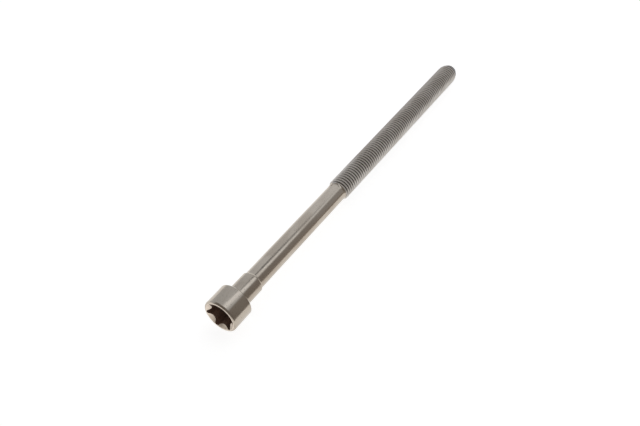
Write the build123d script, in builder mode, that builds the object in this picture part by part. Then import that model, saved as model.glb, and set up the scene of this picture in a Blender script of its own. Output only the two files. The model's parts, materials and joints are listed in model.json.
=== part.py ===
from build123d import *
import os
from math import atan2, cos, degrees, radians, sin, tan

# A cylinder head bolt of the waisted kind, lying on a level surface as it comes to rest.
# The origin is the centre of the bearing face under the head, the bolt runs from its head
# towards +X, and +Z is up. All sizes are in millimetres and all angles in degrees.

# Head
head_diameter = 15.1
head_height = 10.3
head_rounding = 0.75  # radius of the outer edge of the front face
bearing_bevel = 0.35  # bevel round the edge of the bearing face

# Six-lobed socket in the front face
lobes = 6
socket_tips = 13.1  # across opposite lobes
socket_roots = 9.55  # across opposite ridges
lobe_radius = 0.95
socket_depth = 6.2
socket_mouth = 12.95  # diameter of the countersink at the front face
mouth_angle = 120.0
drill_angle = 118.0  # point that the drill left at the bottom of the socket

# Collar that centres the bolt under its head
collar_diameter = 9.7
collar_length = 10.2
collar_step = 1.0  # length of the radius that leads down to the shank
underhead_fillet = 0.4

# Waisted shank
shank_diameter = 8.65

# Thread, as a cylinder over its crests
thread_diameter = 10.0
thread_length = 113.0
thread_runout = 2.2  # length over which the shank widens to the thread
tip_taper = 5.2  # length of the rounded lead-in at the end
tip_diameter = 7.0
length_under_head = 185.0

# How the bolt lies
bolt_roll = 21.0  # turn about its own axis, measured at a lobe from straight up

head_r = head_diameter / 2
collar_r = collar_diameter / 2
shank_r = shank_diameter / 2
thread_r = thread_diameter / 2
tip_r = tip_diameter / 2
mouth_r = socket_mouth / 2
root_r = socket_roots / 2
thread_start = length_under_head - thread_length
taper_start = length_under_head - tip_taper

# The bolt touches the surface at the back edge of its head and at the end of its full thread,
# so its axis dips towards the tip.
rest_dip = degrees(atan2(head_r - thread_r, taper_start + bearing_bevel))
side_view = Plane.XZ.rotated((bolt_roll, 0, 0)).rotated((0, rest_dip, 0))
along = side_view.x_dir
bolt_axis = Axis(side_view.origin, along)


def turned_outline():
    """Half section of the bolt, from the middle of its front face to the middle of its end."""
    front = Line((-head_height, 0), (-head_height, head_r - head_rounding))
    front_edge = TangentArc(front @ 1, (head_rounding - head_height, head_r), tangent=(0, 1))
    head = Polyline(
        front_edge @ 1,
        (-bearing_bevel, head_r),
        (0, head_r - bearing_bevel),
        (0, collar_r + underhead_fillet),
    )
    neck = TangentArc(head @ 1, (underhead_fillet, collar_r), tangent=(0, -1))
    collar = Line(neck @ 1, (collar_length, collar_r))
    shank = Line((collar_length + collar_step, shank_r), (thread_start, shank_r))
    TangentArc(collar @ 1, shank @ 0, tangent=(1, 0), tangent_from_first=False)
    thread = Line((thread_start + thread_runout, thread_r), (taper_start, thread_r))
    TangentArc(shank @ 1, thread @ 0, tangent=(1, 0))
    tip = TangentArc(thread @ 1, (length_under_head, tip_r), tangent=(1, 0))
    Polyline(tip @ 1, (length_under_head, 0), front @ 0)


def lobed_outline():
    """Closed outline of the socket: small arcs at the lobes, tangent to the ridges' wide arcs."""
    lobe_step = 360 / lobes
    half_step = radians(lobe_step / 2)
    lobe_centre = socket_tips / 2 - lobe_radius
    # The ridge's radius is the one at which the two arcs' centres lie both radii apart.
    reach = lobe_centre * cos(half_step)
    ridge_radius = (lobe_centre**2 + root_r**2 - 2 * root_r * reach - lobe_radius**2) / (
        2 * (lobe_radius + reach - root_r)
    )
    ridge_centre = root_r + ridge_radius
    lobe = Vector(lobe_centre, 0)
    ridge = Vector(ridge_centre * cos(half_step), ridge_centre * sin(half_step))
    touch = lobe + (ridge - lobe).normalized() * lobe_radius
    mirrored_touch = Vector(touch.X, -touch.Y)
    for lobe_number in range(lobes):
        turn = lobe_step * lobe_number
        before = mirrored_touch.rotate(Axis.Z, turn)
        tip = Vector(socket_tips / 2, 0).rotate(Axis.Z, turn)
        after = touch.rotate(Axis.Z, turn)
        root = Vector(root_r, 0).rotate(Axis.Z, turn + lobe_step / 2)
        following = mirrored_touch.rotate(Axis.Z, turn + lobe_step)
        ThreePointArc(before, tip, after)
        ThreePointArc(after, root, following)


with BuildPart() as bolt:
    # Head, collar, shank, thread and tip are one turned form.
    with BuildSketch(side_view):
        with BuildLine():
            turned_outline()
        make_face()
    revolve(axis=bolt_axis)

    # Lobed socket, with one lobe in the side view's plane.
    front_face = Plane(-head_height * along, x_dir=side_view.y_dir, z_dir=-along)
    with BuildSketch(front_face):
        with BuildLine():
            lobed_outline()
        make_face()
    extrude(amount=-socket_depth, mode=Mode.SUBTRACT)

    # Countersunk mouth, round bore between the ridges, and the drill's point below it.
    mouth_depth = (mouth_r - root_r) / tan(radians(mouth_angle / 2))
    point_depth = root_r / tan(radians(drill_angle / 2))
    with BuildSketch(side_view):
        with BuildLine():
            Polyline(
                (-head_height, 0),
                (-head_height, mouth_r),
                (mouth_depth - head_height, root_r),
                (socket_depth - head_height, root_r),
                (socket_depth + point_depth - head_height, 0),
                close=True,
            )
        make_face()
    revolve(axis=bolt_axis, mode=Mode.SUBTRACT)

os.makedirs("parts", exist_ok=True)
bolt.part.label = "bolt"
export_step(bolt.part, "parts/bolt.step")
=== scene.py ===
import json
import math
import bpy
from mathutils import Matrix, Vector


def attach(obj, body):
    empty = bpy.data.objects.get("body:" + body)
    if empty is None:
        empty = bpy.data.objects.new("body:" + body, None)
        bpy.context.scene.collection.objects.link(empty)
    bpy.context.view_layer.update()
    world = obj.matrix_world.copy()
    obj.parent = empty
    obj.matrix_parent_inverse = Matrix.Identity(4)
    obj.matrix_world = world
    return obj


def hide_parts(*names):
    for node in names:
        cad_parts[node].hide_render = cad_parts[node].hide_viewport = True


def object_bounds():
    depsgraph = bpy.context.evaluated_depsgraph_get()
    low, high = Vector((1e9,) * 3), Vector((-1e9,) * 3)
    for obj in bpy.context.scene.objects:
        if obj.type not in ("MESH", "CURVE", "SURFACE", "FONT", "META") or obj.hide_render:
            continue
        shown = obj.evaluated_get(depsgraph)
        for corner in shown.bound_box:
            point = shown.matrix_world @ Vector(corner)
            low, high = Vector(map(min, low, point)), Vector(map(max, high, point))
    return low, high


bl_info = {
    "name": "Cylinder Head Bolt",
    "version": (1, 0, 0),
    "blender": (4, 5, 0),
    "location": "View3D > Sidebar > Head Bolt",
    "description": "Models a waisted cylinder head bolt with a rolled thread and a six-lobed socket",
    "category": "Add Mesh",
}

import bmesh
import bpy
from bpy.props import FloatProperty, FloatVectorProperty, IntProperty, PointerProperty
from mathutils import Matrix, Vector

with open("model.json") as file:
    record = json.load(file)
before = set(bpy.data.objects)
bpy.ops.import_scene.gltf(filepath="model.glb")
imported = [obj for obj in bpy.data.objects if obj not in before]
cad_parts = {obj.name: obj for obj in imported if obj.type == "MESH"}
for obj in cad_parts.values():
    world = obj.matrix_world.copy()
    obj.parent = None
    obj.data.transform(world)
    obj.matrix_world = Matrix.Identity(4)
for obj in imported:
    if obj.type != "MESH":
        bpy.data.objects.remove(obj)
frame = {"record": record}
cad_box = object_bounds()
mounts = {mount["name"]: mount for mount in frame["record"]["mounts"]}
MM = 0.001
BOLT_AXIS = Vector(mounts["head"]["axis"]).normalized()

# Segments round the bolt, the same on every turned form, so that their edges line up.
SEGMENTS = 96
# Segments of the arcs in the drawn sections.
ROUNDING_STEPS = 5
FILLET_STEPS = 4
START_STEPS = 5
RUNOUT_STEPS = 6
ROOT_STEPS = 2
TIP_STEPS = 10
LOBE_STEPS = 10
# Points that are closer together are merged.
WELD = 0.000002
# Width of the bands that keep the shading of an arc off the straight form beside it.
BAND = 0.08 * MM
# Edges that bend less are shaded smooth.
SMOOTH_ANGLE = math.radians(25)
# Places of the finishes in the bolt's list of materials.
TURNED, THREAD, SOCKET, FACED = range(4)

FLOOR_SIZE = 3.0
FILM_WIDTH_MM = 36
# What the numbers of a dark card mean.
CARD_NUMBERS = "its middle in X and Y, its length in X and Y, and its height"


class HeadSizes(bpy.types.PropertyGroup):
    diameter: FloatProperty(
        name="Head diameter", description="Across the head", unit="LENGTH",
        default=2 * mounts["head"]["dims"]["r_mm"] * MM)
    height: FloatProperty(
        name="Head height", description="From the bearing face to the front face", unit="LENGTH",
        default=10.3 * MM)
    rounding: FloatProperty(
        name="Front rounding", description="Radius of the front face's outer edge", unit="LENGTH",
        default=0.75 * MM)
    bevel: FloatProperty(
        name="Bearing bevel", description="Bevel round the bearing face", unit="LENGTH",
        default=0.35 * MM)


class SocketSizes(bpy.types.PropertyGroup):
    lobes: IntProperty(name="Lobes", description="Number of lobes in the socket", default=6)
    tips: FloatProperty(
        name="Across lobes", description="Across opposite lobes", unit="LENGTH",
        default=13.1 * MM)
    roots: FloatProperty(
        name="Across ridges", description="Across opposite ridges", unit="LENGTH",
        default=9.55 * MM)
    lobe_radius: FloatProperty(
        name="Lobe radius", description="Radius at the end of a lobe", unit="LENGTH",
        default=0.95 * MM)
    depth: FloatProperty(
        name="Depth", description="From the front face to the socket's floor", unit="LENGTH",
        default=6.2 * MM)
    mouth: FloatProperty(
        name="Mouth diameter", description="Of the countersink at the front face", unit="LENGTH",
        default=12.95 * MM)
    mouth_angle: FloatProperty(
        name="Mouth angle", description="Full angle of the countersink", subtype="ANGLE",
        default=math.radians(120))
    drill_angle: FloatProperty(
        name="Drill angle", description="Full angle of the drill point in the floor", subtype="ANGLE",
        default=math.radians(118))


class ShankSizes(bpy.types.PropertyGroup):
    collar_diameter: FloatProperty(
        name="Collar diameter", description="Of the collar under the head", unit="LENGTH",
        default=2 * mounts["collar"]["dims"]["r_mm"] * MM)
    collar_length: FloatProperty(
        name="Collar length", description="From the bearing face to the collar's end", unit="LENGTH",
        default=10.2 * MM)
    collar_step: FloatProperty(
        name="Collar step", description="Length of the radius down to the shank", unit="LENGTH",
        default=1.0 * MM)
    neck_fillet: FloatProperty(
        name="Neck fillet", description="Radius between the bearing face and the collar", unit="LENGTH",
        default=0.4 * MM)
    diameter: FloatProperty(
        name="Shank diameter", description="Of the waisted shank", unit="LENGTH",
        default=8.65 * MM)


class ThreadSizes(bpy.types.PropertyGroup):
    diameter: FloatProperty(
        name="Thread diameter", description="Over the crests", unit="LENGTH",
        default=2 * mounts["thread"]["dims"]["r_mm"] * MM)
    length: FloatProperty(
        name="Thread length", description="From the end of the shank to the tip", unit="LENGTH",
        default=mounts["thread"]["dims"]["length_mm"] * MM)
    pitch: FloatProperty(
        name="Pitch", description="Advance of the thread in one turn", unit="LENGTH",
        default=1.5 * MM)
    bolt_length: FloatProperty(
        name="Length under the head", description="From the bearing face to the tip", unit="LENGTH",
        default=185.0 * MM)
    runout: FloatProperty(
        name="Run-out", description="Length over which the shank widens to the thread", unit="LENGTH",
        default=2.2 * MM)
    smooth_start: FloatProperty(
        name="Smooth start", description="Length of the run-out before the first groove", unit="LENGTH",
        default=1.2 * MM)
    tip_taper: FloatProperty(
        name="Tip taper", description="Length of the rounded lead-in", unit="LENGTH",
        default=5.2 * MM)
    tip_diameter: FloatProperty(
        name="Tip diameter", description="Of the flat end", unit="LENGTH",
        default=7.0 * MM)
    roll: FloatProperty(
        name="Roll", description="How far the bolt has rolled about its own axis", subtype="ANGLE",
        default=math.radians(21))


class SteelFinish(bpy.types.PropertyGroup):
    steel: FloatVectorProperty(
        name="Steel", description="Bare oiled steel", subtype="COLOR", default=(0.50, 0.44, 0.37))
    faced: FloatVectorProperty(
        name="Faced steel", description="Front face and countersink, freshly cut", subtype="COLOR",
        default=(0.75, 0.65, 0.55))
    # Also the painted shade on the lower part of the countersink.
    stain_and_shade: FloatVectorProperty(
        name="Stain", description="Steel under a film of old oil", subtype="COLOR",
        default=(0.40, 0.335, 0.27))
    rolled: FloatVectorProperty(
        name="Rolled steel", description="Flanks and crests of the thread", subtype="COLOR",
        default=(0.90, 0.855, 0.80))
    # Dark dirt in specks and patches, and also the painted shade in the thread's roots.
    dirt_and_root_shade: FloatVectorProperty(
        name="Groove", description="Oil and dust in the thread's roots", subtype="COLOR",
        default=(0.06, 0.053, 0.046))
    oxide: FloatVectorProperty(
        name="Oxide", description="Dark skin inside the socket", subtype="COLOR",
        default=(0.30, 0.19, 0.14))
    roughness: FloatProperty(
        name="Roughness", description="Of the turned surfaces", subtype="FACTOR", default=0.17)


class StudioSettings(bpy.types.PropertyGroup):
    floor: FloatVectorProperty(
        name="Floor", description="Colour of the floor", subtype="COLOR", default=(0.86, 0.85, 0.83))
    seen_floor: FloatVectorProperty(
        name="Seen floor", description="Paint under the floor's glow, which takes the shadow",
        subtype="COLOR", default=(0.4, 0.4, 0.4))
    floor_glow: FloatProperty(
        name="Floor glow", description="Glow of the floor where the camera or the metal sees it",
        default=0.87)
    dim_wall: FloatVectorProperty(
        name="Dim wall", description="Colour of the dim side of the room", subtype="COLOR",
        default=(1.0, 0.92, 0.86))
    pale_wall: FloatVectorProperty(
        name="Pale wall", description="Colour of the lit side of the room", subtype="COLOR",
        default=(0.96, 1.0, 1.06))
    strip_place: FloatVectorProperty(
        name="Strip place", description="Middle of the strip softbox above the bolt", subtype="XYZ",
        unit="LENGTH", default=(0.253, -0.080, 0.514))
    strip_way: FloatVectorProperty(
        name="Strip way", description="Way in which the strip softbox runs",
        subtype="DIRECTION", default=(-0.372, 0.834, 0.406))
    strip_length: FloatProperty(
        name="Strip length", description="Of the strip softbox", unit="LENGTH", default=0.50)
    strip_width: FloatProperty(
        name="Strip width", description="Of the strip softbox's bright face", unit="LENGTH",
        default=0.10)
    strip_softness: FloatProperty(
        name="Strip softness", description="Half of the width over which the face's far edge fades",
        unit="LENGTH", default=4 * MM)
    strip_rim: FloatProperty(
        name="Strip rim", description="Width of the dark rim past its far edge", unit="LENGTH",
        default=0.10)
    strip_level: FloatProperty(
        name="Strip level", description="Brightness of the strip softbox's face", default=1.25)
    rim_level: FloatProperty(
        name="Rim level", description="Brightness of the dark rim", default=0.14)
    side_card: FloatVectorProperty(
        name="Side card", description="Dark card beside the bolt: " + CARD_NUMBERS, size=5,
        unit="LENGTH", default=(96 * MM, -33 * MM, 320 * MM, 0, 12 * MM))
    front_card: FloatVectorProperty(
        name="Front card", description="Dark card before the head: " + CARD_NUMBERS, size=5,
        unit="LENGTH", default=(-50 * MM, 0, 0, 80 * MM, 26 * MM))
    thread_card: FloatVectorProperty(
        name="Thread card", description="Dark card on the other side of the thread: " + CARD_NUMBERS,
        size=5, unit="LENGTH", default=(142 * MM, 18 * MM, 116 * MM, 0, 14 * MM))
    camera_place: FloatVectorProperty(
        name="Camera place", description="In the bolt's own frame, X along its axis", subtype="XYZ",
        unit="LENGTH", default=(-134.65 * MM, -127.07 * MM, 227.93 * MM))
    camera_right: FloatVectorProperty(
        name="Camera right", description="The picture's right in the bolt's own frame",
        subtype="DIRECTION", default=(0.54863, -0.836065, 0.0))
    camera_up: FloatVectorProperty(
        name="Camera up", description="The picture's top in the bolt's own frame",
        subtype="DIRECTION", default=(0.588865, 0.386416, 0.709874))
    lens: FloatProperty(
        name="Lens", description="Focal length of the camera in millimetres", default=42.17)


def select_nothing():
    """Leave edit mode and deselect every object."""
    if bpy.context.mode != "OBJECT":
        bpy.ops.object.mode_set(mode="OBJECT")
    bpy.ops.object.select_all(action="DESELECT")


def choose(piece):
    """Make a piece the only selected object and the active one."""
    select_nothing()
    bpy.context.view_layer.objects.active = piece
    piece.select_set(True)


class Pen:
    """Draws a line of edges with extrude and spin, starting from one vertex."""

    def __init__(self, name, start, normal=(0, 1, 0)):
        select_nothing()
        bpy.ops.mesh.primitive_plane_add(size=MM)
        self.piece = bpy.context.active_object
        self.piece.name = name
        self.normal = Vector(normal)
        bpy.ops.object.mode_set(mode="EDIT")
        bpy.ops.mesh.select_mode(type="VERT")
        bpy.ops.mesh.select_all(action="SELECT")
        bpy.ops.mesh.merge(type="CENTER")
        self.at = Vector(start)
        bpy.ops.transform.translate(value=self.at)

    def line_to(self, point):
        step = Vector(point) - self.at
        bpy.ops.mesh.extrude_region_move(TRANSFORM_OT_translate={"value": step})
        self.at = Vector(point)

    def banded_line_to(self, point):
        """Line with a narrow band at both ends, for a straight form between two arcs."""
        end = Vector(point)
        step = (end - self.at).normalized() * BAND
        for stop in (self.at + step, end - step, end):
            self.line_to(stop)

    def arc_to(self, centre, angle, steps):
        """Arc about the centre, by the right-hand rule about the drawing's normal."""
        centre = Vector(centre)
        bpy.ops.mesh.spin(steps=steps, angle=-angle, center=centre, axis=self.normal)
        self.at = centre + Matrix.Rotation(angle, 3, self.normal) @ (self.at - centre)


def merge_doubles():
    """Select the whole mesh in edit mode and merge its doubles."""
    bpy.ops.mesh.select_all(action="SELECT")
    bpy.ops.mesh.remove_doubles(threshold=WELD)


def weld():
    """Merge the doubles of the mesh in edit mode and turn its faces outwards."""
    merge_doubles()
    bpy.ops.mesh.normals_make_consistent(inside=False)


def turn_round(pen):
    """Spin a drawn half section into a closed turned form about the X axis."""
    bpy.ops.mesh.select_all(action="SELECT")
    bpy.ops.mesh.spin(steps=SEGMENTS, angle=2 * math.pi, center=(0, 0, 0), axis=(1, 0, 0))
    weld()
    select_nothing()
    return pen.piece


def combine(piece, tool, operation):
    """Add, subtract or intersect a tool with a piece, and remove the tool."""
    choose(piece)
    modifier = piece.modifiers.new("combine", "BOOLEAN")
    modifier.operation = operation
    modifier.solver = "EXACT"
    modifier.object = tool
    bpy.ops.object.modifier_apply(modifier=modifier.name)
    bpy.data.objects.remove(tool)


def clean(piece):
    """Merge what the Booleans left closer together than the weld, and drop faces without area."""
    choose(piece)
    bpy.ops.object.mode_set(mode="EDIT")
    bpy.ops.mesh.select_mode(type="VERT")
    merge_doubles()
    bpy.ops.mesh.dissolve_degenerate(threshold=WELD)
    select_nothing()


def turned_blank(head, shank, thread):
    """Head, collar and shank as one turned form, with a core that ends inside the thread."""
    head_r = head.diameter / 2
    collar_r = shank.collar_diameter / 2
    shank_r = shank.diameter / 2
    front = -head.height
    pen = Pen("head_bolt", (front, 0, 0))
    pen.line_to((front, 0, head_r - head.rounding))
    pen.arc_to((front + head.rounding, 0, head_r - head.rounding), math.radians(90), ROUNDING_STEPS)
    pen.banded_line_to((-head.bevel, 0, head_r))
    pen.line_to((0, 0, head_r - head.bevel))
    pen.banded_line_to((0, 0, collar_r + shank.neck_fillet))
    neck = (shank.neck_fillet, 0, collar_r + shank.neck_fillet)
    pen.arc_to(neck, math.radians(-90), FILLET_STEPS)
    pen.banded_line_to((shank.collar_length, 0, collar_r))
    drop = collar_r - shank_r
    radius = (shank.collar_step**2 + drop**2) / (2 * drop)
    sweep = math.asin(shank.collar_step / radius)
    pen.arc_to((shank.collar_length + shank.collar_step, 0, shank_r + radius), -sweep, FILLET_STEPS)
    thread_start = thread.bolt_length - thread.length
    pen.banded_line_to((thread_start, 0, shank_r))
    radius = runout_radius(shank, thread)
    sweep = math.asin(thread.smooth_start / radius)
    pen.arc_to((thread_start, 0, shank_r + radius), -sweep, START_STEPS)
    # The core is thinner than the thread's roots.
    core_share = 0.75
    core_r = core_share * shank_r
    core_start = pen.at.x + pen.at.z - core_r
    pen.line_to((core_start, 0, core_r))
    pen.line_to((core_start + thread.runout, 0, core_r))
    pen.line_to((core_start + thread.runout, 0, 0))
    return turn_round(pen)


def runout_radius(shank, thread):
    """Radius of the arc that leads from the shank to the thread's crests."""
    rise = (thread.diameter - shank.diameter) / 2
    return (thread.runout**2 + rise**2) / (2 * rise)


def thread_spiral(thread, first_turn, turns):
    """Endless thread: one pitch of its form, drawn with the pen and screwed along the X axis."""
    pitch = thread.pitch
    crest_r = thread.diameter / 2
    # Proportions of the metric thread. Its crests get a small bevel.
    flank = math.radians(30)
    sharp_height = pitch / 2 / math.tan(flank)
    root_radius = sharp_height / 6
    root_r = crest_r - sharp_height * 17 / 24
    root_bend = math.pi / 2 - flank
    crest_bevel = 0.04 * pitch
    crest_half = pitch / 16
    pen = Pen("thread_form", (first_turn, 0, root_r))
    pen.arc_to((first_turn, 0, root_r + root_radius), -root_bend, ROOT_STEPS)
    start = first_turn + pitch / 2 - crest_half
    drop = crest_bevel * math.cos(flank)
    inset = crest_bevel * math.sin(flank)
    pen.line_to((start - inset, 0, crest_r - drop))
    pen.line_to((start + crest_bevel / 2, 0, crest_r))
    end = first_turn + pitch / 2 + crest_half
    pen.line_to((end - crest_bevel / 2, 0, crest_r))
    pen.line_to((end + inset, 0, crest_r - drop))
    last_root = first_turn + pitch
    bend_x = root_radius * math.cos(flank)
    bend_z = root_r + root_radius * (1 - math.sin(flank))
    pen.line_to((last_root - bend_x, 0, bend_z))
    pen.arc_to((last_root, 0, root_r + root_radius), -root_bend, ROOT_STEPS)
    piece = pen.piece
    choose(piece)
    screw = piece.modifiers.new("screw", "SCREW")
    screw.axis = "X"
    screw.angle = 2 * math.pi
    screw.screw_offset = pitch
    screw.iterations = turns
    screw.steps = SEGMENTS
    screw.render_steps = SEGMENTS
    bpy.ops.object.modifier_apply(modifier=screw.name)
    bpy.ops.object.mode_set(mode="EDIT")
    merge_doubles()
    middle = first_turn + pitch * turns / 2
    for outward in (-1, 1):
        select_where(
            piece, lambda edge: edge.is_boundary and outward * (edge.verts[0].co.x - middle) > 0)
        bpy.ops.mesh.extrude_region_move(TRANSFORM_OT_translate={"value": (outward * pitch, 0, 0)})
        bpy.ops.mesh.merge(type="CENTER")
    weld()
    select_nothing()
    return piece


def select_where(piece, wanted):
    """Select the edges of a piece in edit mode that a test picks out."""
    bpy.ops.mesh.select_mode(type="EDGE")
    bpy.ops.mesh.select_all(action="DESELECT")
    mesh = bmesh.from_edit_mesh(piece.data)
    for edge in mesh.edges:
        edge.select_set(wanted(edge))
    mesh.select_flush_mode()
    bmesh.update_edit_mesh(piece.data)


def thread_envelope(shank, thread):
    """Turned form that trims the thread to its run-out and its rounded tip."""
    crest_r = thread.diameter / 2
    shank_r = shank.diameter / 2
    tip_r = thread.tip_diameter / 2
    clearance = 0.2 * MM
    start = thread.bolt_length - thread.length
    rise_radius = runout_radius(shank, thread)
    rise_sweep = math.asin(thread.runout / rise_radius)
    fall = crest_r - tip_r
    tip_radius = (thread.tip_taper**2 + fall**2) / (2 * fall)
    tip_sweep = math.asin(thread.tip_taper / tip_radius)
    # The thread starts inside the blank and comes out of it just past the smooth start.
    hidden = 0.3 * MM
    past_start = 0.05 * MM
    first_x = start + thread.smooth_start + past_start
    pen = Pen("envelope", (first_x - 3 * hidden, 0, 0))
    pen.line_to((first_x - 3 * hidden, 0, shank_r - 2 * hidden))
    pen.line_to((first_x - hidden, 0, shank_r - hidden))
    centre_z = shank_r + rise_radius
    first_angle = math.asin((first_x - start) / rise_radius)
    pen.line_to((first_x, 0, centre_z - rise_radius * math.cos(first_angle)))
    # Both arcs cross the crests at an angle, so that no edge lies on another.
    past_crests = math.radians(4)
    pen.arc_to((start, 0, centre_z), first_angle - rise_sweep - past_crests, RUNOUT_STEPS)
    pen.line_to((start + thread.runout + 2 * clearance, 0, crest_r + clearance))
    taper_start = thread.bolt_length - thread.tip_taper
    pen.line_to((taper_start - clearance, 0, crest_r + clearance))
    over_crests = crest_r + 2 * WELD
    pen.line_to((taper_start, 0, over_crests))
    pen.arc_to((taper_start, 0, over_crests - tip_radius), tip_sweep, TIP_STEPS)
    pen.line_to((thread.bolt_length, 0, 0))
    return turn_round(pen)


def lobed_cutter(head, socket):
    """Prism with the socket's lobes, from outside the front face to the socket's floor."""
    step = 2 * math.pi / socket.lobes
    tip_r = socket.tips / 2
    root_r = socket.roots / 2
    lobe_r = socket.lobe_radius
    lobe_centre = tip_r - lobe_r
    reach = lobe_centre * math.cos(step / 2)
    ridge_r = (lobe_centre**2 + root_r**2 - 2 * root_r * reach - lobe_r**2) / (
        2 * (lobe_r + reach - root_r))
    ridge_centre = root_r + ridge_r
    # Where a lobe's arc meets the ridge's arc, as seen from both centres.
    lobe_point = Vector((0, 0, lobe_centre))
    ridge_point = Matrix.Rotation(step / 2, 3, "X") @ Vector((0, 0, ridge_centre))
    outwards = ridge_point - lobe_point
    lobe_sweep = 2 * math.atan2(abs(outwards.y), outwards.z)
    ridge_sweep = lobe_sweep - step
    clearance = MM
    outside = -head.height - clearance
    base = Matrix.Rotation(-lobe_sweep / 2, 3, "X") @ Vector((0, 0, lobe_r))
    start = Vector((outside, base.y, lobe_centre + base.z))
    pen = Pen("lobed_cutter", start, normal=(1, 0, 0))
    for lobe in range(socket.lobes):
        turn = Matrix.Rotation(step * lobe, 3, "X")
        lobe_at = turn @ lobe_point
        ridge_at = turn @ ridge_point
        pen.arc_to((outside, lobe_at.y, lobe_at.z), lobe_sweep, LOBE_STEPS)
        pen.arc_to((outside, ridge_at.y, ridge_at.z), -ridge_sweep, LOBE_STEPS)
    merge_doubles()
    bpy.ops.mesh.edge_face_add()
    inwards = (clearance + socket.depth, 0, 0)
    bpy.ops.mesh.extrude_region_move(TRANSFORM_OT_translate={"value": inwards})
    weld()
    select_nothing()
    return pen.piece


def mouth_cutter(head, socket):
    """Countersink of the socket's mouth and the drill's point under its floor."""
    front = -head.height
    mouth_r = socket.mouth / 2
    # The bore between the ridges is a little smaller than across them.
    bore_share = 0.985
    inner_r = bore_share * socket.roots / 2
    point_lead = 0.1 * MM
    mouth_slope = math.tan(socket.mouth_angle / 2)
    outside = MM
    pen = Pen("mouth_cutter", (front - outside, 0, 0))
    pen.line_to((front - outside, 0, mouth_r + outside * mouth_slope))
    pen.line_to((front + (mouth_r - inner_r) / mouth_slope, 0, inner_r))
    pen.line_to((front + socket.depth - point_lead, 0, inner_r))
    pen.line_to((front + socket.depth + inner_r / math.tan(socket.drill_angle / 2), 0, 0))
    return turn_round(pen)


class Value:
    """An output socket that can be used in sums, differences and products."""

    def __init__(self, shader, socket):
        self.shader = shader
        self.socket = socket

    def __add__(self, other):
        return self.shader.math("ADD", self, other)

    def __radd__(self, other):
        return self.shader.math("ADD", other, self)

    def __sub__(self, other):
        return self.shader.math("SUBTRACT", self, other)

    def __rsub__(self, other):
        return self.shader.math("SUBTRACT", other, self)

    def __mul__(self, other):
        return self.shader.math("MULTIPLY", self, other)

    def __rmul__(self, other):
        return self.shader.math("MULTIPLY", other, self)

    def __pow__(self, other):
        return self.shader.math("POWER", self, other)

    def ramp(self, low, high):
        """0 below low, 1 above high, and smooth in between. Low may be the larger of the two."""
        return self.shader.node(
            "ShaderNodeMapRange", {"interpolation_type": "SMOOTHSTEP"},
            {"Value": self, "From Min": low, "From Max": high})


def pick(sockets, key):
    """One of a node's sockets in use, by its name or by its place among them."""
    used = [socket for socket in sockets if socket.enabled]
    if isinstance(key, int):
        return used[key]
    return next(socket for socket in used if socket.name == key)


class Shader:
    """The node tree of one material or of the world."""

    def __init__(self, owner):
        owner.use_nodes = True
        self.tree = owner.node_tree
        self.tree.nodes.clear()

    def node(self, kind, settings=None, inputs=None, output=0):
        """Add a node, with its settings first and then its sockets, and give back one of its outputs."""
        made = self.tree.nodes.new(kind)
        for name, value in (settings or {}).items():
            setattr(made, name, value)
        for key, value in (inputs or {}).items():
            socket = pick(made.inputs, key)
            if isinstance(value, Value):
                self.tree.links.new(value.socket, socket)
            else:
                socket.default_value = value
        if not made.outputs:
            return made
        return Value(self, pick(made.outputs, output))

    def math(self, operation, first, second):
        return self.node("ShaderNodeMath", {"operation": operation}, {0: first, 1: second})

    def mix(self, factor, first, second):
        """Colour between two colours."""
        return self.node(
            "ShaderNodeMix", {"data_type": "RGBA"}, {"Factor": factor, "A": first, "B": second})

    def split(self, vector):
        """The three numbers of a vector."""
        first = self.node("ShaderNodeSeparateXYZ", {}, {0: vector})
        return [Value(self, socket) for socket in first.socket.node.outputs]


def bolt_coordinates(shader):
    """Object coordinates turned so that X runs along the bolt."""
    place = shader.node("ShaderNodeTexCoord", output="Object")
    dip = math.atan2(-BOLT_AXIS.z, BOLT_AXIS.x)
    return shader.node("ShaderNodeMapping", {}, {"Vector": place, "Rotation": (0, -dip, 0)})


def distance_from_axis(across, up):
    """Distance of a place from the bolt's axis."""
    return (across * across + up * up) ** 0.5


def stretched_noise(shader, place, scales, detail=3):
    """Noise whose grains are long in the directions with small scales. Scales are per metre."""
    spread = shader.node("ShaderNodeMapping", {}, {"Vector": place, "Scale": scales})
    return shader.node(
        "ShaderNodeTexNoise", {}, {"Vector": spread, "Scale": 1.0, "Detail": detail, "Roughness": 0.55})


def steel_surface(shader, colour, roughness, height, depth, metallic=1.0):
    """Metal with a bump of that depth in metres, joined to the material's output."""
    bump = shader.node("ShaderNodeBump", {}, {"Height": height, "Strength": 1.0, "Distance": depth})
    metal = shader.node("ShaderNodeBsdfPrincipled", {}, {
        "Base Color": colour, "Metallic": metallic, "Roughness": roughness, "Normal": bump})
    shader.node("ShaderNodeOutputMaterial", {}, {"Surface": metal})


def turned_steel(finish):
    """Head, collar and shank: turning rings, faint draw lines and an uneven film of oil."""
    material = bpy.data.materials.new("oiled_turned_steel")
    shader = Shader(material)
    place = bolt_coordinates(shader)
    rings = stretched_noise(shader, place, (5200, 60, 60))
    draw_lines = stretched_noise(shader, place, (45, 2600, 2600))
    film = stretched_noise(shader, place, (70, 160, 160), detail=4).ramp(0.42, 0.62)
    specks = stretched_noise(shader, place, (1300, 1300, 1300), detail=2).ramp(0.66, 0.74)
    tone = shader.mix(film * 0.55, (*finish.steel, 1), (*finish.stain_and_shade, 1))
    tone = shader.mix(specks * 0.35, tone, (*finish.dirt_and_root_shade, 1))
    roughness = finish.roughness + 0.05 * film + 0.06 * (draw_lines - 0.5)
    height = 0.4 * rings + 0.6 * draw_lines
    steel_surface(shader, tone, roughness, height, depth=0.003 * MM)
    return material


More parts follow.
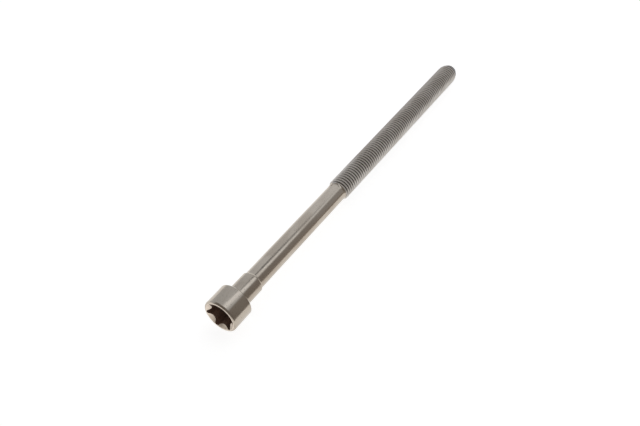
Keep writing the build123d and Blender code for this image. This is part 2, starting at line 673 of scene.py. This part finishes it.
def faced_steel(finish, socket):
    """Front face and countersink: bright from the cutter, with its fine rings and painted shade on the
    lower part of the countersink.
    """
    material = bpy.data.materials.new("faced_steel")
    shader = Shader(material)
    place = bolt_coordinates(shader)
    across, up = shader.split(place)[1:]
    radius = distance_from_axis(across, up)
    rings = shader.node(
        "ShaderNodeTexNoise", {"noise_dimensions": "1D"}, {"W": radius, "Scale": 14000.0, "Detail": 2.0})
    film = stretched_noise(shader, place, (300, 300, 300), detail=4).ramp(0.46, 0.68)
    mouth_r = socket.mouth / 2
    sunk = radius.ramp(mouth_r, mouth_r - 0.1 * MM)
    # Painted shade, not oil: the lower part of the countersink is darkened.
    painted_low_shade = sunk * up.ramp(-1.5 * MM, -3.5 * MM)
    tone = shader.mix(film * 0.35 + painted_low_shade * 0.65, (*finish.faced, 1), (*finish.stain_and_shade, 1))
    roughness = 0.26 + 0.12 * film
    steel_surface(shader, tone, roughness, rings, depth=0.003 * MM)
    return material


def thread_steel(finish, thread):
    """Rolled thread: bright steel on the crests and upper flanks, and painted shade in the roots."""
    material = bpy.data.materials.new("oiled_thread_steel")
    shader = Shader(material)
    place = bolt_coordinates(shader)
    across, up = shader.split(place)[1:]
    radius = distance_from_axis(across, up)
    crest_r = thread.diameter / 2
    dark_below = crest_r - 0.68 * MM
    bright_above = crest_r - 0.36 * MM
    lift = radius.ramp(dark_below, bright_above)
    film = stretched_noise(shader, place, (90, 160, 160), detail=4).ramp(0.40, 0.62)
    grain = stretched_noise(shader, place, (900, 900, 900))
    tone = shader.mix(film * 0.25, (*finish.rolled, 1), (*finish.steel, 1))
    # Painted shade: below the crests the colour darkens, most in the thread's roots.
    tone = shader.mix(lift, (*finish.dirt_and_root_shade, 1), tone)
    roughness = 0.45 - 0.14 * lift + 0.10 * (grain - 0.5)
    steel_surface(shader, tone, roughness, grain, depth=0.006 * MM, metallic=0.35)
    return material


def socket_steel(finish):
    """Walls and floor of the socket, under a dark skin from forging."""
    material = bpy.data.materials.new("dark_socket_steel")
    shader = Shader(material)
    place = bolt_coordinates(shader)
    press_lines = stretched_noise(shader, place, (60, 2200, 2200))
    patches = stretched_noise(shader, place, (260, 420, 420), detail=4).ramp(0.45, 0.65)
    tone = shader.mix(patches * 0.5, (*finish.oxide, 1), (*finish.dirt_and_root_shade, 1))
    roughness = 0.5 + 0.12 * patches
    steel_surface(shader, tone, roughness, press_lines, depth=0.006 * MM, metallic=0.2)
    return material


def paint_places(piece, materials, wanted):
    """Give each face of a piece the material that a test on its place names."""
    for material in materials:
        piece.data.materials.append(material)
    for face in piece.data.polygons:
        face.material_index = wanted(face.center, face.normal)


def lay_down(piece, roll):
    """Turn the bolt from the X axis to the way that it lies, in its mesh."""
    choose(piece)
    dip = Vector((1, 0, 0)).rotation_difference(BOLT_AXIS).to_matrix()
    piece.data.transform((dip @ Matrix.Rotation(roll, 3, "X")).to_4x4())
    bpy.ops.object.transform_apply(location=True, rotation=True, scale=True)


class HEADBOLT_OT_model_bolt(bpy.types.Operator):
    """Model the bolt: turned blank, rolled thread and pressed socket, as one solid"""

    bl_idname = "headbolt.model_bolt"
    bl_label = "Model the Bolt"

    def execute(self, context):
        scene = context.scene
        head, socket, shank, thread = (
            scene.headbolt_head, scene.headbolt_socket, scene.headbolt_shank, scene.headbolt_thread)
        piece = turned_blank(head, shank, thread)
        thread_start = thread.bolt_length - thread.length
        turns_before = 1.5
        first_turn = thread_start - turns_before * thread.pitch
        turns = math.ceil((thread.bolt_length - first_turn) / thread.pitch) + 1
        spiral = thread_spiral(thread, first_turn, turns)
        combine(spiral, thread_envelope(shank, thread), "INTERSECT")
        combine(piece, spiral, "UNION")
        combine(piece, lobed_cutter(head, socket), "DIFFERENCE")
        combine(piece, mouth_cutter(head, socket), "DIFFERENCE")
        clean(piece)
        finish = scene.headbolt_finish
        # In the order of the places TURNED, THREAD, SOCKET and FACED.
        materials = [
            turned_steel(finish), thread_steel(finish, thread), socket_steel(finish),
            faced_steel(finish, socket)]
        margin = 0.02 * MM
        socket_start = margin - head.height
        socket_r = socket.tips / 2 + margin / 2
        faced_end = socket_start + 1.2 * MM
        faced_r = head.diameter / 2 - head.rounding + margin
        faced_slope = -0.8

        def finish_at(centre, normal):
            radius = math.hypot(centre.y, centre.z)
            if centre.x > thread_start + thread.smooth_start:
                return THREAD
            if normal.x < faced_slope and centre.x < faced_end and radius < faced_r:
                return FACED
            if socket_start < centre.x < 0 and radius < socket_r:
                return SOCKET
            return TURNED

        paint_places(piece, materials, finish_at)
        lay_down(piece, thread.roll)
        bpy.ops.object.shade_smooth_by_angle(angle=SMOOTH_ANGLE)
        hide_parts("bolt")
        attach(piece, "root")
        return {"FINISHED"}


def stage_card(name, middle, across, along, material):
    """Flat card of the stage with those two sides, which the camera doesn't see."""
    select_nothing()
    bpy.ops.mesh.primitive_plane_add(size=1.0)
    card = bpy.context.active_object
    card.name = name
    place = Matrix((across, along, across.cross(along).normalized())).transposed().to_4x4()
    place.translation = middle
    card.data.transform(place)
    card.data.materials.append(material)
    card.visible_camera = False
    card.visible_shadow = False
    return card


def distance_along(shader, middle, axis):
    """How far a place on a card of the stage lies from the middle, along an axis."""
    place = shader.node("ShaderNodeTexCoord", output="Object")
    product = shader.node("ShaderNodeVectorMath", {"operation": "DOT_PRODUCT"}, {0: place, 1: axis})
    return product - middle.dot(axis)


def strip_softbox(studio):
    """Narrow softbox over the bolt, with a dark rim along a part of its far edge."""
    middle = Vector(studio.strip_place)
    back = middle.normalized()
    way = Vector(studio.strip_way)
    along = (way - back * back.dot(way)).normalized()
    far = along.cross(back)
    material = bpy.data.materials.new("strip_softbox")
    shader = Shader(material)
    length = distance_along(shader, middle, along)
    out = distance_along(shader, middle, far)
    edge = studio.strip_width / 2
    face = out.ramp(edge + studio.strip_softness, edge - studio.strip_softness)
    # The rim is mirrored in the shank: a slanted end keeps it off the head, and it fades to the thread.
    slant = 0.8
    head_end = (length - slant * out).ramp(10 * MM, -5 * MM)
    thread_end = length.ramp(-150 * MM, 0)
    rim = head_end * thread_end
    level = studio.rim_level + (studio.strip_level - studio.rim_level) * face
    bright = shader.node("ShaderNodeEmission", {}, {"Color": (*studio.pale_wall, 1), "Strength": level})
    clear = shader.node("ShaderNodeBsdfTransparent", {}, {})
    shown = shader.math("MAXIMUM", face, rim)
    surface = shader.node("ShaderNodeMixShader", {}, {0: shown, 1: clear, 2: bright})
    shader.node("ShaderNodeOutputMaterial", {}, {"Surface": surface})
    width = studio.strip_width + studio.strip_rim
    stage_card(
        "strip_softbox", middle + far * studio.strip_rim / 2, far * width, along * studio.strip_length,
        material)


def dark_cards(studio, floor_z):
    """Low dark cards that stand round the bolt and give the metal its dark edges."""
    material = bpy.data.materials.new("dark_card")
    shader = Shader(material)
    place = shader.node("ShaderNodeTexCoord", output="Object")
    ahead = shader.split(place)[0]
    # A little brighter past the head.
    level = 0.25 + 0.09 * ahead.ramp(-5 * MM, 45 * MM)
    paint = shader.node("ShaderNodeEmission", {}, {"Color": (*studio.dim_wall, 1), "Strength": level})
    shader.node("ShaderNodeOutputMaterial", {}, {"Surface": paint})
    for name in ("side_card", "front_card", "thread_card"):
        x, y, length, width, height = getattr(studio, name)
        middle = Vector((x, y, floor_z + height / 2))
        card = stage_card(name, middle, Vector((length, width, 0)), Vector((0, 0, height)), material)
        card.visible_diffuse = False


def floor_material(studio):
    """Pale floor that is white where the camera or the metal sees it, with the bolt's shadow kept."""
    material = bpy.data.materials.new("pale_floor")
    shader = Shader(material)
    paint = shader.node("ShaderNodeBsdfDiffuse", {}, {"Color": (*studio.floor, 1)})
    seen_paint = shader.node("ShaderNodeBsdfDiffuse", {}, {"Color": (*studio.seen_floor, 1)})
    glow = shader.node("ShaderNodeEmission", {}, {"Color": (1, 1, 1, 1), "Strength": studio.floor_glow})
    camera, glossy, clear = [
        shader.node("ShaderNodeLightPath", output=ray)
        for ray in ("Is Camera Ray", "Is Glossy Ray", "Is Transmission Ray")]
    seen = shader.math("MAXIMUM", shader.math("MAXIMUM", camera, glossy), clear)
    white = shader.node("ShaderNodeAddShader", {}, {0: seen_paint, 1: glow})
    surface = shader.node("ShaderNodeMixShader", {}, {0: seen, 1: paint, 2: white})
    shader.node("ShaderNodeOutputMaterial", {}, {"Surface": surface})
    return material


def studio_world(studio):
    """Room with a pale ceiling and left wall, and a dim right side, all brighter ahead of the bolt."""
    world = bpy.data.worlds.new("studio")
    bpy.context.scene.world = world
    shader = Shader(world)
    # Parts of a direction of length 1, and so are the ends of the ramps. Levels are brightness.
    ahead, left, up = shader.split(shader.node("ShaderNodeTexCoord", output="Generated"))
    # The ceiling has a slanted edge on the right, which moves to the left far ahead.
    edge = 0.72 * left + 0.69 * up - 0.13 * ahead.ramp(0.52, 0.64)
    ceiling = edge.ramp(-0.12, 0.14)
    ceiling_level = shader.math("MINIMUM", 1.3 * ahead, 0.35 + 0.5 * ahead) + 0.2 * ahead.ramp(0.46, 0.52)
    wall = left.ramp(0.45, 0.95) * (1 - 0.4 * ahead.ramp(0.58, 0.70))
    wall_level = 0.66
    pale = shader.math("MAXIMUM", ceiling_level * ceiling, wall_level * wall)
    least_level = 0.22
    dim_level = 0.12 + 0.33 * ahead + 0.06 * ahead.ramp(0.49, 0.54)
    dim = shader.math("MAXIMUM", dim_level, least_level)
    # A low wall behind the head, which its front face mirrors.
    low_wall = ahead.ramp(-0.35, -0.85) * up.ramp(0.45, 0.10)
    low_level = 0.6
    level = shader.math("MAXIMUM", pale, shader.math("MAXIMUM", dim, low_level * low_wall))
    colour = shader.mix(level.ramp(0.25, 0.5), (*studio.dim_wall, 1), (*studio.pale_wall, 1))
    room = shader.node("ShaderNodeBackground", {}, {"Color": colour, "Strength": level})
    shader.node("ShaderNodeOutputWorld", {}, {"Surface": room})


def add_camera(studio):
    """Camera at its place in the bolt's own frame."""
    bolt_up = Vector((-BOLT_AXIS.z, 0, BOLT_AXIS.x))
    bolt_frame = Matrix((BOLT_AXIS, (0, 1, 0), bolt_up)).transposed()
    right = bolt_frame @ Vector(studio.camera_right)
    up = bolt_frame @ Vector(studio.camera_up)
    bpy.ops.object.camera_add(location=bolt_frame @ Vector(studio.camera_place))
    camera = bpy.context.active_object
    camera.name = "camera"
    camera.rotation_mode = "QUATERNION"
    camera.rotation_quaternion = Matrix((right, up, right.cross(up))).transposed().to_quaternion()
    camera.data.lens = studio.lens
    camera.data.sensor_width = FILM_WIDTH_MM
    camera.data.clip_start = 10 * MM
    bpy.context.scene.camera = camera


class HEADBOLT_OT_set_stage(bpy.types.Operator):
    """Set the floor, the room, the softbox, the dark cards and the camera"""

    bl_idname = "headbolt.set_stage"
    bl_label = "Set the Stage"

    def execute(self, context):
        studio = context.scene.headbolt_studio
        floor_z = cad_box[0].z
        select_nothing()
        bpy.ops.mesh.primitive_plane_add(size=FLOOR_SIZE, location=(0, 0, floor_z))
        floor = context.active_object
        floor.name = "floor"
        floor.data.materials.append(floor_material(studio))
        studio_world(studio)
        strip_softbox(studio)
        dark_cards(studio, floor_z)
        add_camera(studio)
        context.scene.view_settings.view_transform = "Standard"
        return {"FINISHED"}


class HEADBOLT_PT_panel(bpy.types.Panel):
    """Sidebar panel with the steps that make the bolt"""

    bl_idname = "HEADBOLT_PT_panel"
    bl_label = "Head Bolt"
    bl_space_type = "VIEW_3D"
    bl_region_type = "UI"
    bl_category = "Head Bolt"

    def draw(self, context):
        for step in STEPS:
            self.layout.operator(step.bl_idname)
        for name in GROUPS:
            group = getattr(context.scene, name)
            box = self.layout.box()
            for setting in group.__annotations__:
                box.prop(group, setting)


STEPS = (HEADBOLT_OT_model_bolt, HEADBOLT_OT_set_stage)
GROUPS = {
    "headbolt_head": HeadSizes,
    "headbolt_socket": SocketSizes,
    "headbolt_shank": ShankSizes,
    "headbolt_thread": ThreadSizes,
    "headbolt_finish": SteelFinish,
    "headbolt_studio": StudioSettings,
}


def register():
    for name, group in GROUPS.items():
        bpy.utils.register_class(group)
        setattr(bpy.types.Scene, name, PointerProperty(type=group))
    for shown in (*STEPS, HEADBOLT_PT_panel):
        bpy.utils.register_class(shown)


def unregister():
    for shown in (HEADBOLT_PT_panel, *reversed(STEPS)):
        bpy.utils.unregister_class(shown)
    for name, group in reversed(list(GROUPS.items())):
        delattr(bpy.types.Scene, name)
        bpy.utils.unregister_class(group)


def main():
    register()
    bpy.ops.headbolt.model_bolt()
    bpy.ops.headbolt.set_stage()


if __name__ == "__main__":
    main()
